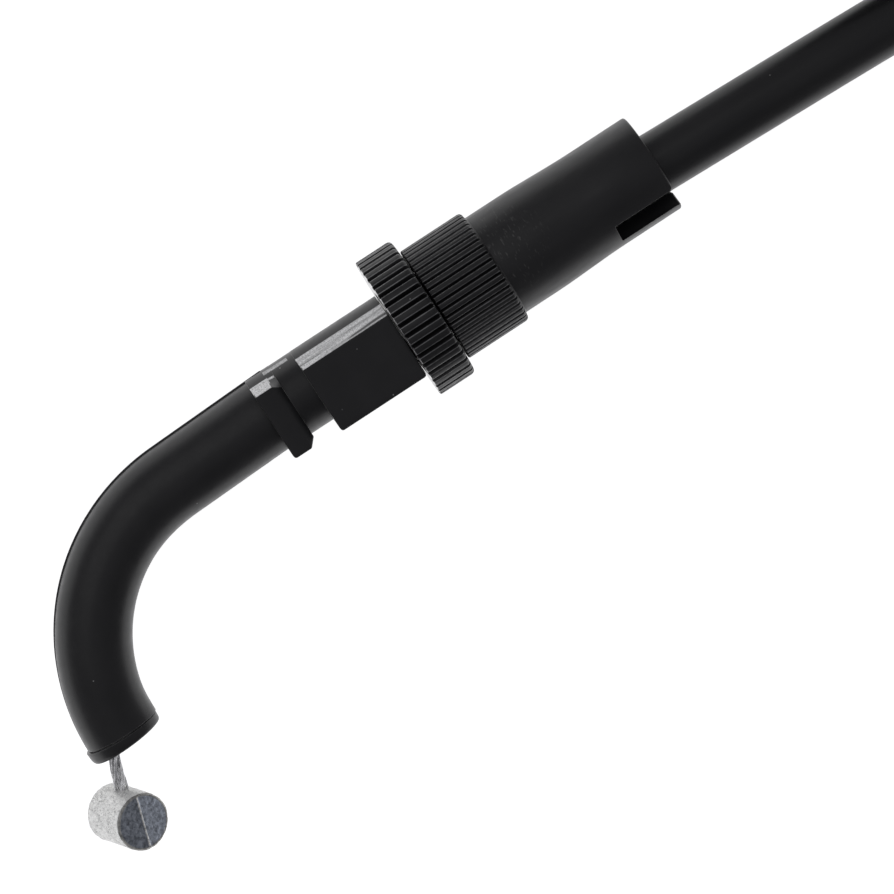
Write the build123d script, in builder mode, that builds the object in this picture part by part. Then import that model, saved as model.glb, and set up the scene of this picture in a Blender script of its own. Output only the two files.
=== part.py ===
"""Throttle cable of a motorcycle: moulded elbow and in-line adjuster at the handlebar end,
outer casing wound into a tied coil, and a threaded bolt with two nuts at the throttle end.

Millimetres. The origin is on the adjuster's axis, at the middle of the collar groove that the
switch housing closes on. +X runs along the adjuster towards the casing, +Z points up, and the
elbow turns towards -Y. The cable lies on a level surface at FLOOR_Z, on the lock nut's rim, the
coil and the two washers of the far bolt.
"""
import os
from math import asin, atan2, cos, degrees, hypot, pi, radians, sin, sqrt, tan

from build123d import *

os.makedirs("parts", exist_ok=True)

# ---------------------------------------------------------------- driving dimensions

# elbow
TUBE_R = 3.97  # outside of the elbow's plastic cover
LINING_R = 3.4  # between the cover and the steel guide tube in it
BORE_R = 2.9  # inside of the guide tube
BEND_X = -14.85  # centre of the bend
BEND_Y = -19.15
BEND_R = 18.7  # its centreline
BEND_END = 92.5  # end of the mouth, in degrees from +Y about the bend's centre
FIN_PROUD = 0.25  # mould fin along the outside of the elbow
FIN_WIDE = 0.5
LIP_R = 4.08  # ring that closes the elbow's mouth
LIP_SHIFT = 0.2  # that its outside stands away from the bend's centre
LIP_TURN = 3.9  # degrees of the bend that it covers
LIP_CHAMFER = 0.3

# collar that the switch housing holds
COLLAR_R = 4.05
KEY_HALF = 4.8  # half the distance across the two big flats
FLANGE_BACK = -4.65  # side flat of the flange, towards the inside of the bend
BLOCK_BACK = -4.9  # and of the key block
SHOULDER_TURN = 33.0  # degrees from +Y where the slanted facets leave the round side
FLANGE_EDGE = 2.7  # Y where each big flat meets its slanted facet
BLOCK_EDGE = 2.4
FLANGE_X0 = -4.1
FLANGE_X1 = -1.3
FLANGE_CHAMFER = 0.8
BLOCK_X0 = 1.3
BLOCK_X1 = 11.45

# M8 x 1 thread, shared by the near stud and the far bolt
THREAD_R = 4.0
THREAD_PLAY = 0.05
WIRE_WAY_R = 1.1  # bore for the inner wire through both threaded pieces
STUD_ROOT_X = 3.3
STUD_ROOT_R = 3.0
STUD_END_X = 28.0

# lock nut
NUT_X0 = 11.6
NUT_LONG = 4.2
NUT_R = 7.85
NUT_RIDGES = 40
NUT_GROOVE = 0.5

# adjuster sleeve
SLEEVE_X0 = 16.0
GRIP_X1 = 23.2
GRIP_R = 6.35
GRIP_RIDGES = 48
GRIP_GROOVE = 0.38
BARREL_R = 5.62
TAPER_X0 = 27.0
TAPER_X1 = 35.5
TAIL_R = 5.38
SLEEVE_X1 = 42.1
WEB_X0 = 30.0
WEB_X1 = 31.55
WEB_HOLE_R = 1.4
SEAT_X1 = 35.45
SEAT_R = 3.81
MOUTH_R = 3.6
SLOT_WIDE = 2.65
SLOT_LONG = 6.95
SLOT_ANGLE = 134.5  # degrees from +Y towards +Z, about +X

# casing and what it holds
CASING_R = 3.2
WINDING_R = 2.6
LINER_R = 1.4
LINER_BORE_R = 1.0
FERRULE_X0 = 31.6
FERRULE_WEB = 0.7
FERRULE_X1 = 35.4
FERRULE_R = 3.75

# inner wire and its near nipple
WIRE_R = 0.75
WIRE_MOUTH = (-35.5, -20.05, 0.0)  # where the wire crosses the elbow's mouth
WIRE_TURN = 20.7  # degrees that the wire leans from -Y towards -X
WIRE_INSIDE = 13.3  # length of straight wire inside the mouth
NIPPLE_OUT = 6.82  # from the mouth to the nipple's centre, along the wire
NIPPLE_R = 3.0
NIPPLE_LONG = 6.2
NIPPLE_ROLL = 27.0  # degrees about the wire, top of the barrel towards +X
NIPPLE_LEAN = 6.7  # degrees that its top then leans away from the mouth
WIRE_IN_NIPPLE = 1.6  # how far the wire reaches past the nipple's centre
FIXED_WIRE_TURN = 35.0  # degrees of the bend that the wire behind the straight length fills

# surface that the cable lies on, and the coil of casing
FLOOR_Z = -NUT_R
PITCH = 2 * CASING_R + 0.05  # between neighbouring turns
COIL_MID_R = 33.0
COIL_X = 104.0
COIL_ENTRY_Y = -3.0
TIE_THICK = 0.8
TIE_WIDE = 4.0
TIE_ANGLES = (-40.0, 60.0)

# far bolt
WASHER_R = 7.0
WASHER_THICK = 1.6
FAR_Z = FLOOR_Z + WASHER_R
BOLT_END_X = 20.0
BOLT_SHOULDER_X = 53.0
RELIEF_X = 30.0  # undercut that ends the free stretch of thread past the outer nut
RELIEF_WIDE = 1.0
RELIEF_DEEP = 0.6
CUP_FLOOR_X = 54.0
CUP_X1 = 62.0
CUP_R = 4.5
HEX_FLATS = 12.0
HEX_THICK = 5.0
BRACKET_X = 40.0  # middle of the gap that takes the throttle bracket
BRACKET_GAP = 4.0
NUT_GAP = 0.2  # between a nut and its washer
BOOT_X0 = 57.0
BOOT_X1 = 69.0
BOOT_R = 5.6
BOOT_NECK_R = 4.2
BOOT_PLAY = 0.2
FAR_WIRE_X = 43.0  # inner end of the far wire, in the bolt
FAR_NIPPLE_X = -14.0
FAR_NIPPLE_R = 2.5
FAR_NIPPLE_LONG = 6.0

# ---------------------------------------------------------------- worked out from those

COIL_OUTER_R = COIL_MID_R + PITCH / 2
COIL_Y = COIL_ENTRY_Y + COIL_OUTER_R
FAR_Y = COIL_Y + COIL_OUTER_R
LOW_Z = FLOOR_Z + CASING_R  # centre of a turn that lies on the surface
HIGH_Z = LOW_Z + PITCH
RING_IN = COIL_MID_R - PITCH
RING_OUT = COIL_MID_R + PITCH
RING_TOP = FLOOR_Z + 2 * PITCH

LEAD_ROUTE = [
    (FERRULE_X1, 0.0, 0.0),
    (50.0, -0.48, 0.0),
    (71.0, -1.35, -1.3),
    (90.0, -2.7, -3.7),
    (COIL_X, COIL_ENTRY_Y, LOW_Z),
]
TAIL_ROUTE = [
    (COIL_X, FAR_Y, HIGH_Z),
    (90.0, FAR_Y + 0.4, HIGH_Z - 0.4),
    (72.0, FAR_Y, FAR_Z),
    (CUP_FLOOR_X, FAR_Y, FAR_Z),
]


def route_radii(route):
    """Arc radius at each corner of a route: 0.45 of the shorter run, over tan of half the turn."""
    radii = []
    for before, corner, after in zip(route, route[1:], route[2:]):
        run_in = Vector(*corner) - Vector(*before)
        run_out = Vector(*after) - Vector(*corner)
        half_turn = radians(run_in.get_angle(run_out)) / 2
        radii.append(0.45 * min(run_in.length, run_out.length) / tan(half_turn))
    return radii


def route_wire(route):
    """Straight runs joined by tangent arcs."""
    with BuildLine(mode=Mode.PRIVATE) as line:
        FilletPolyline(*route, radius=route_radii(route))
    return line.wire()


def elbow_heading(start_x):
    """Angle of the straight run that leaves the adjuster's axis at start_x and meets the bend."""
    to_x = BEND_X - start_x
    return atan2(BEND_Y, to_x) + 2 * pi - asin(BEND_R / hypot(to_x, BEND_Y))


def elbow_path(start_x, end):
    """That straight run, then the bend up to so many degrees from +Y."""
    heading = elbow_heading(start_x)
    run = sqrt((BEND_X - start_x) ** 2 + BEND_Y**2 - BEND_R**2)
    with BuildLine(mode=Mode.PRIVATE) as line:
        Line((start_x, 0), (start_x + run * cos(heading), run * sin(heading)))
        CenterArc((BEND_X, BEND_Y), BEND_R, degrees(heading) - 90, 180 + end - degrees(heading))
    return line.wire()


def elbow_plane(start_x):
    """Plane square to that run at its start: its own x points to the outside of the bend."""
    heading = elbow_heading(start_x)
    return Plane(
        origin=(start_x, 0, 0),
        x_dir=(sin(heading), -cos(heading), 0),
        z_dir=(cos(heading), sin(heading), 0),
    )


def far_plane(x=0.0):
    """Plane square to the far bolt's axis at x: its own x is +Y and its normal is +X."""
    return Plane(origin=(x, FAR_Y, FAR_Z), x_dir=(0, 1, 0), z_dir=(1, 0, 0))


FAR_PROFILE = Plane(origin=(0, FAR_Y, FAR_Z), x_dir=(1, 0, 0), z_dir=(0, 0, 1))
FAR_AXIS = Axis((0, FAR_Y, FAR_Z), (1, 0, 0))


def keep(piece, name):
    """Labels a finished piece and writes it."""
    piece.part.label = name
    export_step(piece.part, f"parts/{name}.step")


# ---------------------------------------------------------------- elbow

COVER_START_X = FLANGE_X1 - FLANGE_CHAMFER
LIP_START = BEND_END - LIP_TURN

# the slanted facets leave the round side at a shallow corner
SHOULDER_Y = COLLAR_R * cos(radians(SHOULDER_TURN))
SHOULDER_Z = COLLAR_R * sin(radians(SHOULDER_TURN))


def key_outline(edge, back):
    """Adds the keyed outline to the sketch in hand: its flats end at Y = edge, its back is at Y = back."""
    Polygon(
        (SHOULDER_Y, SHOULDER_Z),
        (edge, KEY_HALF),
        (back, KEY_HALF),
        (back, -KEY_HALF),
        (edge, -KEY_HALF),
        (SHOULDER_Y, -SHOULDER_Z),
        align=None,
    )


with BuildPart() as elbow_cover:
    # swept tube with its mould fin
    with BuildSketch(elbow_plane(COVER_START_X)):
        Circle(TUBE_R)
        with Locations((TUBE_R, 0)):
            Rectangle(2 * FIN_PROUD, FIN_WIDE)
    sweep(path=elbow_path(COVER_START_X, LIP_START))
    # round core of the collar, flush with the block's round side
    with BuildSketch(Plane.YZ.offset(FLANGE_X0)):
        Circle(COLLAR_R)
    extrude(amount=BLOCK_X1 - FLANGE_X0)
    # flange, chamfered on the side that faces the groove
    with BuildSketch(Plane.YZ.offset(FLANGE_X0)):
        key_outline(FLANGE_EDGE, FLANGE_BACK)
    extrude(amount=FLANGE_X1 - FLANGE_CHAMFER - FLANGE_X0)
    with BuildSketch(Plane.YZ.offset(FLANGE_X1 - FLANGE_CHAMFER)):
        key_outline(FLANGE_EDGE, FLANGE_BACK)
    extrude(amount=FLANGE_CHAMFER, taper=45)
    # key block
    with BuildSketch(Plane.YZ.offset(BLOCK_X0)):
        key_outline(BLOCK_EDGE, BLOCK_BACK)
    extrude(amount=BLOCK_X1 - BLOCK_X0)
    # bore for the guide tube, then for the stud's root
    with BuildSketch(elbow_plane(STUD_ROOT_X)):
        Circle(LINING_R)
    sweep(path=elbow_path(STUD_ROOT_X, LIP_START), mode=Mode.SUBTRACT)
    with BuildSketch(Plane.YZ.offset(STUD_ROOT_X)):
        Circle(STUD_ROOT_R)
    extrude(amount=BLOCK_X1 - STUD_ROOT_X, mode=Mode.SUBTRACT)
keep(elbow_cover, "elbow_cover")

with BuildPart() as guide_tube:
    with BuildSketch(elbow_plane(STUD_ROOT_X)):
        Circle(LINING_R)
        Circle(BORE_R, mode=Mode.SUBTRACT)
    sweep(path=elbow_path(STUD_ROOT_X, LIP_START))
keep(guide_tube, "guide_tube")

lip_start = radians(90 + LIP_START)
bend_axis = Axis((BEND_X, BEND_Y, 0), (0, 0, 1))
lip_plane = Plane(
    origin=(BEND_X + BEND_R * cos(lip_start), BEND_Y + BEND_R * sin(lip_start), 0),
    x_dir=(cos(lip_start), sin(lip_start), 0),
    z_dir=(-sin(lip_start), cos(lip_start), 0),
)
with BuildPart() as mouth_ring:
    with BuildSketch(lip_plane):
        with Locations((LIP_SHIFT, 0)):
            Circle(LIP_R)
        Circle(BORE_R, mode=Mode.SUBTRACT)
    revolve(axis=bend_axis, revolution_arc=LIP_TURN)
    end_face = mouth_ring.faces().filter_by(GeomType.PLANE).sort_by(Axis.Y)[0]
    chamfer(end_face.outer_wire().edges(), length=LIP_CHAMFER)
keep(mouth_ring, "mouth_ring")

with BuildPart() as threaded_stud:
    with BuildSketch(Plane.XY):
        Polygon(
            (STUD_ROOT_X, WIRE_WAY_R),
            (STUD_ROOT_X, STUD_ROOT_R),
            (BLOCK_X1, STUD_ROOT_R),
            (BLOCK_X1, THREAD_R - 0.4),
            (BLOCK_X1 + 0.4, THREAD_R),
            (STUD_END_X - 0.5, THREAD_R),
            (STUD_END_X, THREAD_R - 0.5),
            (STUD_END_X, WIRE_WAY_R),
            align=None,
        )
    revolve(axis=Axis.X)
keep(threaded_stud, "threaded_stud")

# ---------------------------------------------------------------- inner wire, near end

with BuildPart() as elbow_wire:
    with BuildSketch(elbow_plane(STUD_END_X)):
        Circle(WIRE_R)
    sweep(path=elbow_path(STUD_END_X, FIXED_WIRE_TURN))
keep(elbow_wire, "elbow_wire")

wire_dir = Vector(-sin(radians(WIRE_TURN)), -cos(radians(WIRE_TURN)), 0)
wire_start = Vector(*WIRE_MOUTH) - wire_dir * WIRE_INSIDE
nipple_centre = Vector(*WIRE_MOUTH) + wire_dir * NIPPLE_OUT
with BuildPart() as near_wire:
    with BuildSketch(Plane(origin=wire_start, x_dir=(0, 0, 1), z_dir=wire_dir)):
        Circle(WIRE_R)
    extrude(amount=WIRE_INSIDE + NIPPLE_OUT + WIRE_IN_NIPPLE)
keep(near_wire, "near_wire")

# the barrel lies across the wire, rolled about it from upright and leaning a little along it
wire_side = Vector(cos(radians(WIRE_TURN)), -sin(radians(WIRE_TURN)), 0)
rolled = Vector(0, 0, 1) * cos(radians(NIPPLE_ROLL)) + wire_side * sin(radians(NIPPLE_ROLL))
barrel_dir = rolled * cos(radians(NIPPLE_LEAN)) + wire_dir * sin(radians(NIPPLE_LEAN))
with BuildPart() as near_nipple:
    with BuildSketch(Plane(origin=nipple_centre, z_dir=barrel_dir)):
        Circle(NIPPLE_R)
    extrude(amount=NIPPLE_LONG / 2, both=True)
    chamfer(near_nipple.edges().filter_by(GeomType.CIRCLE), length=0.25)
    hole_floor = nipple_centre + wire_dir * WIRE_IN_NIPPLE
    with BuildSketch(Plane(origin=hole_floor, x_dir=(0, 0, 1), z_dir=wire_dir)):
        Circle(WIRE_R)
    extrude(amount=-3 * NIPPLE_R, mode=Mode.SUBTRACT)
keep(near_nipple, "near_nipple")

# ---------------------------------------------------------------- lock nut and adjuster sleeve


def ridges(radius, count, groove):
    """Round section with V grooves cut round it, for the sketch in hand."""
    Circle(radius)
    with PolarLocations(radius, count):
        RegularPolygon(groove, 3, rotation=180, mode=Mode.SUBTRACT)


with BuildPart() as lock_nut:
    with BuildSketch(Plane.YZ.offset(NUT_X0)):
        ridges(NUT_R, NUT_RIDGES, NUT_GROOVE)
        Circle(THREAD_R + THREAD_PLAY, mode=Mode.SUBTRACT)
    extrude(amount=NUT_LONG)
keep(lock_nut, "lock_nut")

with BuildPart() as adjuster_sleeve:
    with BuildSketch(Plane.YZ.offset(SLEEVE_X0)):
        ridges(GRIP_R, GRIP_RIDGES, GRIP_GROOVE)
    extrude(amount=GRIP_X1 - SLEEVE_X0)
    with BuildSketch(Plane.XY):
        Polygon(
            (SLEEVE_X0, 0),
            (SLEEVE_X0, BARREL_R),
            (TAPER_X0, BARREL_R),
            (TAPER_X1, TAIL_R),
            (SLEEVE_X1 - 0.3, TAIL_R),
            (SLEEVE_X1, TAIL_R - 0.3),
            (SLEEVE_X1, 0),
            align=None,
        )
    revolve(axis=Axis.X)
    # threaded bore, web, ferrule seat and mouth
    with BuildSketch(Plane.XY):
        Polygon(
            (SLEEVE_X0, 0),
            (SLEEVE_X0, THREAD_R + THREAD_PLAY),
            (WEB_X0, THREAD_R + THREAD_PLAY),
            (WEB_X0, WEB_HOLE_R),
            (WEB_X1, WEB_HOLE_R),
            (WEB_X1, SEAT_R),
            (SEAT_X1, SEAT_R),
            (SEAT_X1, MOUTH_R),
            (SLEEVE_X1, MOUTH_R),
            (SLEEVE_X1, 0),
            align=None,
        )
    revolve(axis=Axis.X, mode=Mode.SUBTRACT)
    # slot that lets the mouth spring open over the ferrule
    slot_out = Vector(0, cos(radians(SLOT_ANGLE)), sin(radians(SLOT_ANGLE)))
    with BuildSketch(Plane(origin=(SLEEVE_X1, 0, 0), x_dir=(1, 0, 0), z_dir=slot_out)):
        Rectangle(2 * SLOT_LONG, SLOT_WIDE)
    extrude(amount=2 * TAIL_R, mode=Mode.SUBTRACT)
keep(adjuster_sleeve, "adjuster_sleeve")

# ---------------------------------------------------------------- end of the casing, in the sleeve

layer_x0 = FERRULE_X0 + FERRULE_WEB
with BuildPart() as near_ferrule:
    with BuildSketch(Plane.XY):
        Polygon(
            (FERRULE_X0, LINER_BORE_R),
            (FERRULE_X0, FERRULE_R),
            (FERRULE_X1, FERRULE_R),
            (FERRULE_X1, CASING_R),
            (layer_x0, CASING_R),
            (layer_x0, LINER_BORE_R),
            align=None,
        )
    revolve(axis=Axis.X)
keep(near_ferrule, "near_ferrule")

with BuildPart() as casing_end_sheath:
    with BuildSketch(Plane.YZ.offset(layer_x0)):
        Circle(CASING_R)
        Circle(WINDING_R, mode=Mode.SUBTRACT)
    extrude(amount=FERRULE_X1 - layer_x0)
keep(casing_end_sheath, "casing_end_sheath")

with BuildPart() as casing_end_winding:
    with BuildSketch(Plane.YZ.offset(layer_x0)):
        Circle(WINDING_R)
        Circle(LINER_R, mode=Mode.SUBTRACT)
    extrude(amount=FERRULE_X1 - layer_x0)
keep(casing_end_winding, "casing_end_winding")

with BuildPart() as casing_end_liner:
    with BuildSketch(Plane.YZ.offset(layer_x0)):
        Circle(LINER_R)
        Circle(LINER_BORE_R, mode=Mode.SUBTRACT)
    extrude(amount=FERRULE_X1 - layer_x0)
keep(casing_end_liner, "casing_end_liner")

with BuildPart() as casing_wire:
    with BuildSketch(Plane.YZ.offset(STUD_END_X + 0.2)):
        Circle(WIRE_R)
    extrude(amount=FERRULE_X1 - STUD_END_X - 0.2)
keep(casing_wire, "casing_wire")

# ---------------------------------------------------------------- free casing

lead_wire = route_wire(LEAD_ROUTE)
with BuildPart() as casing_lead:
    with BuildSketch(Plane(origin=lead_wire @ 0, z_dir=lead_wire % 0)):
        Circle(CASING_R)
    sweep(path=lead_wire)
keep(casing_lead, "casing_lead")

tail_wire = route_wire(TAIL_ROUTE)
with BuildPart() as casing_tail:
    with BuildSketch(Plane(origin=tail_wire @ 0, z_dir=tail_wire % 0)):
        Circle(CASING_R)
    sweep(path=tail_wire)
keep(casing_tail, "casing_tail")

# outer shape of three and a half turns, wound two wide and two high
with BuildPart() as casing_coil:
    with BuildSketch(Plane(origin=(COIL_X, COIL_Y, FLOOR_Z))):
        Circle(RING_OUT)
        Circle(RING_IN, mode=Mode.SUBTRACT)
    extrude(amount=RING_TOP - FLOOR_Z)
    fillet(casing_coil.edges().filter_by(GeomType.CIRCLE), radius=2.4)
keep(casing_coil, "casing_coil")

with BuildPart() as coil_ties:
    for angle in TIE_ANGLES:
        tie_dir = Vector(cos(radians(angle)), sin(radians(angle)), 0)
        tie_middle = Vector(COIL_X, COIL_Y, (FLOOR_Z + RING_TOP + TIE_THICK) / 2) + tie_dir * COIL_MID_R
        tie_plane = Plane(origin=tie_middle, x_dir=tie_dir, z_dir=tie_dir.rotate(Axis.Z, 90))
        with BuildSketch(tie_plane):
            RectangleRounded(
                2 * PITCH + 2 * TIE_THICK, RING_TOP + TIE_THICK - FLOOR_Z, 2.4 + TIE_THICK
            )
            RectangleRounded(2 * PITCH, RING_TOP - TIE_THICK - FLOOR_Z, 2.4, mode=Mode.SUBTRACT)
        extrude(amount=TIE_WIDE / 2, both=True)
keep(coil_ties, "coil_ties")

# ---------------------------------------------------------------- far bolt, its nuts and its wire

with BuildPart() as far_bolt:
    with BuildSketch(FAR_PROFILE):
        Polygon(
            (BOLT_END_X, WIRE_WAY_R),
            (BOLT_END_X, THREAD_R - 0.5),
            (BOLT_END_X + 0.5, THREAD_R),
            (RELIEF_X, THREAD_R),
            (RELIEF_X, THREAD_R - RELIEF_DEEP),
            (RELIEF_X + RELIEF_WIDE, THREAD_R - RELIEF_DEEP),
            (RELIEF_X + RELIEF_WIDE, THREAD_R),
            (BOLT_SHOULDER_X, THREAD_R),
            (BOLT_SHOULDER_X, CUP_R),
            (CUP_X1, CUP_R),
            (CUP_X1, CASING_R),
            (CUP_FLOOR_X, CASING_R),
            (CUP_FLOOR_X, WIRE_WAY_R),
            align=None,
        )
    revolve(axis=FAR_AXIS)
keep(far_bolt, "far_bolt")

with BuildPart() as far_boot:
    with BuildSketch(FAR_PROFILE):
        Polygon(
            (BOOT_X0, CUP_R),
            (BOOT_X0, BOOT_R),
            (CUP_X1 + 1, BOOT_R),
            (BOOT_X1, BOOT_NECK_R),
            (BOOT_X1, CASING_R + BOOT_PLAY),
            (CUP_X1, CASING_R + BOOT_PLAY),
            (CUP_X1, CUP_R),
            align=None,
        )
    revolve(axis=FAR_AXIS)
keep(far_boot, "far_boot")

outer_washer_x = BRACKET_X - BRACKET_GAP / 2 - WASHER_THICK
inner_washer_x = BRACKET_X + BRACKET_GAP / 2
outer_nut_x = outer_washer_x - NUT_GAP - HEX_THICK
inner_nut_x = inner_washer_x + WASHER_THICK + NUT_GAP

with BuildPart() as outer_washer:
    with BuildSketch(far_plane(outer_washer_x)):
        Circle(WASHER_R)
        Circle(THREAD_R + THREAD_PLAY, mode=Mode.SUBTRACT)
    extrude(amount=WASHER_THICK)
keep(outer_washer, "outer_washer")

with BuildPart() as inner_washer:
    with BuildSketch(far_plane(inner_washer_x)):
        Circle(WASHER_R)
        Circle(THREAD_R + THREAD_PLAY, mode=Mode.SUBTRACT)
    extrude(amount=WASHER_THICK)
keep(inner_washer, "inner_washer")

with BuildPart() as outer_nut:
    with BuildSketch(far_plane(outer_nut_x)):
        RegularPolygon(HEX_FLATS / 2, 6, major_radius=False, rotation=30)
        Circle(THREAD_R + THREAD_PLAY, mode=Mode.SUBTRACT)
    extrude(amount=HEX_THICK)
keep(outer_nut, "outer_nut")

with BuildPart() as inner_nut:
    with BuildSketch(far_plane(inner_nut_x)):
        RegularPolygon(HEX_FLATS / 2, 6, major_radius=False, rotation=30)
        Circle(THREAD_R + THREAD_PLAY, mode=Mode.SUBTRACT)
    extrude(amount=HEX_THICK)
keep(inner_nut, "inner_nut")

with BuildPart() as far_wire:
    with BuildSketch(far_plane(FAR_NIPPLE_X - WIRE_IN_NIPPLE)):
        Circle(WIRE_R)
    extrude(amount=FAR_WIRE_X - FAR_NIPPLE_X + WIRE_IN_NIPPLE)
keep(far_wire, "far_wire")

with BuildPart() as far_nipple:
    with BuildSketch(Plane(origin=(FAR_NIPPLE_X, FAR_Y, FAR_Z))):
        Circle(FAR_NIPPLE_R)
    extrude(amount=FAR_NIPPLE_LONG / 2, both=True)
    chamfer(far_nipple.edges().filter_by(GeomType.CIRCLE), length=0.25)
    with BuildSketch(far_plane(FAR_NIPPLE_X - WIRE_IN_NIPPLE)):
        Circle(WIRE_R)
    extrude(amount=2 * FAR_NIPPLE_R, mode=Mode.SUBTRACT)
keep(far_nipple, "far_nipple")

# ---------------------------------------------------------------- what the casing measures

coil_length = 2 * pi * (1.5 * COIL_OUTER_R + 2 * (COIL_MID_R - PITCH / 2))
for title, wire in (("lead", lead_wire), ("tail", tail_wire)):
    print(title, "length", round(wire.length, 1))
print("casing length", round(lead_wire.length + coil_length + tail_wire.length, 1))
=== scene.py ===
"""Motorcycle throttle cable on a light table: its looks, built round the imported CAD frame.

Lengths are millimetres in the row frame and turn into metres when an object is made. +X runs along
the adjuster towards the casing, +Z points up, and the elbow turns towards -Y.
"""
import math
import random

import bmesh
import bpy
from mathutils import Matrix, Vector, noise


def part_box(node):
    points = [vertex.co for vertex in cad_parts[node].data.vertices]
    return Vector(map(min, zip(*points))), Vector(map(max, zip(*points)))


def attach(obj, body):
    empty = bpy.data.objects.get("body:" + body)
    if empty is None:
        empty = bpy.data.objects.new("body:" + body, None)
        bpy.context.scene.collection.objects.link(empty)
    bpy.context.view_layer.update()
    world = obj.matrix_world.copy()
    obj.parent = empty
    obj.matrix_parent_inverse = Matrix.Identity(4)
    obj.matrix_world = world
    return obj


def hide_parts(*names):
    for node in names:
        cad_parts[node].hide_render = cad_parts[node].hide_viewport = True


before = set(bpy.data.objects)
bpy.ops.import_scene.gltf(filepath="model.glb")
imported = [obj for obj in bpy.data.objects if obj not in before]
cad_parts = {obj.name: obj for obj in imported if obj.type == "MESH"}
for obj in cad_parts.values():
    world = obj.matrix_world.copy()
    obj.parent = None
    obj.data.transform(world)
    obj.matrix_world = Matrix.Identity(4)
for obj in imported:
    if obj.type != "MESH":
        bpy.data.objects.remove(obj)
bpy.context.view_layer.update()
MM = 0.001
TAU = 2 * math.pi
random.seed(7)


def low(node):
    """Lowest corner of a CAD node, in millimetres."""
    return Vector(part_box(node)[0]) / MM


def high(node):
    return Vector(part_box(node)[1]) / MM


# ------------------------------------------------------------------ sizes

NUT_R = 7.85
FLOOR_Z = -NUT_R
BORE_R = 4.05  # threaded bores of the nuts and the sleeve
THREAD_R = 4.0
THREAD_DEEP = 0.5
PITCH = 1.0
WIRE_WAY_R = 1.1
CASING_R = 3.2

BEND_X, BEND_Y = -14.85, -19.15  # centre of the bend
BEND_R = 18.7
BEND_END = 92.5  # degrees past +Y about the bend's centre, where the elbow ends
LIP_TURN = 3.9  # degrees of the bend that the mouth ring takes
TUBE_R = 3.97
BEND_TUBE_R = 3.92  # in the middle of the bend
LINING_R = 3.4
MOUTH_BORE_R = 2.9
LIP_R = 4.08
LIP_SHIFT = 0.2  # how far the mouth ring's outside stands outwards
FIN_PROUD = 0.16
FIN_WIDE = 0.3

COLLAR_R = 4.05
KEY_HALF = 4.8
SHOULDER = math.radians(33.0)  # where the collar's round side meets its slanted facets
FLANGE_EDGE, BLOCK_EDGE = 2.7, 2.4  # Y where the facets meet the flats
FLANGE_BACK, BLOCK_BACK = -4.65, -4.9
FLANGE_X0, FLANGE_X1 = -4.1, -1.3
FLANGE_CHAMFER = 0.8
BLOCK_X0, BLOCK_X1 = 1.3, 11.45
COVER_START_X = FLANGE_X1 - FLANGE_CHAMFER
STUD_ROOT_X, STUD_ROOT_R = 3.3, 3.0
STUD_END_X = 28.0

NUT_X0, NUT_X1 = 11.6, 15.8
SLEEVE_X0, GRIP_X1, SLEEVE_X1 = 16.0, 23.2, 42.1
GRIP_R, BARREL_R, TAIL_R = 6.35, 5.62, 5.38
TAPER_X0, TAPER_X1 = 27.0, 35.5
SLOT_WIDE, SLOT_LONG = 2.65, 6.95
SLOT_ANGLE = 134.5  # degrees from +Y towards +Z
WEB_X0, WEB_X1, WEB_HOLE_R = 30.0, 31.55, 1.4
SEAT_X1, SEAT_R, SLEEVE_MOUTH_R = 35.45, 3.81, 3.6
NUT_RIDGES, NUT_GROOVE_DEEP = 40, 0.5
GRIP_RIDGES, GRIP_GROOVE_DEEP = 48, 0.36

WIRE_MOUTH = Vector((-35.5, -20.05, 0.0))
WIRE_TURN = math.radians(20.7)
WIRE_DIR = Vector((-math.sin(WIRE_TURN), -math.cos(WIRE_TURN), 0.0))
WIRE_SIDE = Vector((math.cos(WIRE_TURN), -math.sin(WIRE_TURN), 0.0))
WIRE_INSIDE = 13.3
NIPPLE_OUT = 6.82
NIPPLE_ROLL, NIPPLE_LEAN = math.radians(27.0), math.radians(6.7)
NEAR_BARREL_R, NEAR_BARREL_LONG = 2.95, 6.15
FAR_BARREL_R, FAR_BARREL_LONG = 2.45, 5.9

COIL_LOW, COIL_HIGH = low("casing_coil"), high("casing_coil")
COIL_X = (COIL_LOW.x + COIL_HIGH.x) / 2
COIL_Y = (COIL_LOW.y + COIL_HIGH.y) / 2
TURN_STEP = (COIL_HIGH.z - COIL_LOW.z) / 2  # between neighbouring turns, and between layers
COIL_OUTER_R = (COIL_HIGH.x - COIL_LOW.x) / 2 - TURN_STEP / 2
COIL_INNER_R = COIL_OUTER_R - TURN_STEP
LOW_Z = FLOOR_Z + CASING_R
HIGH_Z = LOW_Z + TURN_STEP
FAR_Y = (low("far_bolt").y + high("far_bolt").y) / 2
FAR_Z = (low("far_bolt").z + high("far_bolt").z) / 2
BOLT_END_X, BOLT_SHOULDER_X, CUP_X0, CUP_X1, CUP_R = 20.0, 53.0, 54.0, 62.0, 4.5
HEX_THICK, OUTER_NUT_X, INNER_NUT_X = 5.0, 31.2, 43.8
WASHER_THICK, OUTER_WASHER_X, INNER_WASHER_X = 1.6, 36.4, 42.0
HEX_HALF = 6.0
BOOT_X0, BOOT_X1, BOOT_R = 57.0, 69.0, 5.6
FAR_WIRE_X, FAR_NIPPLE_X = 43.0, -14.0

# ------------------------------------------------------------------ mesh helpers


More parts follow.
